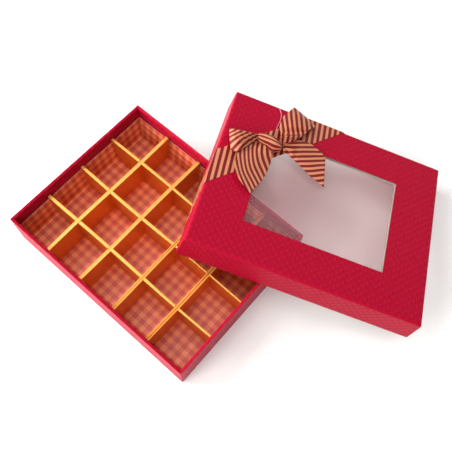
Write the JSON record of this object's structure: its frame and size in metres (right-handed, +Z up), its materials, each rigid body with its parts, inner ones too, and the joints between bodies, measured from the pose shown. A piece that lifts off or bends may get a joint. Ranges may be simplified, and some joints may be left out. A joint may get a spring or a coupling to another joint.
{
  "type": "chocolate box",
  "caption": "Rigid gift box for chocolates: divided tray with a gingham liner, and a shallow window lid with a ribbon and bow, leaning on the tray.",
  "frame": {"origin": "middle of the tray's flat underside, where the tray stands on the table", "axes": "+Z up, +X along the tray's long side towards the lid, +Y along its short side"},
  "size_m": [0.3281, 0.31, 0.0854],
  "materials": {
    "greyboard": "matte uncoated board",
    "kraft_tape": "matte kraft paper",
    "embossed_red_paper": "satin pearl embossed paper",
    "plain_white_paper": "matte",
    "gingham_card": "satin printed card",
    "gold_card": "metallic foil on card",
    "clear_film": "clear gloss film",
    "adhesive_tape": "matte",
    "striped_ribbon": "twill weave, satin",
    "nylon_thread": "gloss"
  },
  "bodies": {
    "tray": {"tray_board": "greyboard", "tray_corner_stays": "kraft_tape", "tray_wrap": "embossed_red_paper", "tray_base_sheet": "plain_white_paper"},
    "liner": {"gingham_liner": "gingham_card"},
    "lattice": {"long_divider_1": "gold_card", "long_divider_2": "gold_card", "long_divider_3": "gold_card", "short_divider_1": "gold_card", "short_divider_2": "gold_card", "short_divider_3": "gold_card", "short_divider_4": "gold_card"},
    "lid": {"lid_board": "greyboard", "lid_corner_stays": "kraft_tape", "lid_wrap": "embossed_red_paper", "window_film": "clear_film", "film_tape": "adhesive_tape", "lid_lining": "plain_white_paper", "ribbon_band": "striped_ribbon", "bow_knot": "striped_ribbon", "bow_loop_left": "striped_ribbon", "bow_loop_right": "striped_ribbon", "bow_tail_left": "striped_ribbon", "bow_tail_right": "striped_ribbon", "bow_tie_thread": "nylon_thread", "bow_thread_end": "nylon_thread"}
  },
  "joints": [
    {"name": "liner_lift", "type": "slide", "parent": "tray", "child": "liner", "axis": [0, 0, 1], "range_m": [0, 0.06]},
    {"name": "lattice_lift", "type": "slide", "parent": "liner", "child": "lattice", "axis": [0, 0, 1], "range_m": [0, 0.06]},
    {"name": "lid_lift", "type": "slide", "parent": "lattice", "child": "lid", "axis": [0, 0, 1], "range_m": [0, 0.08]}
  ]
}
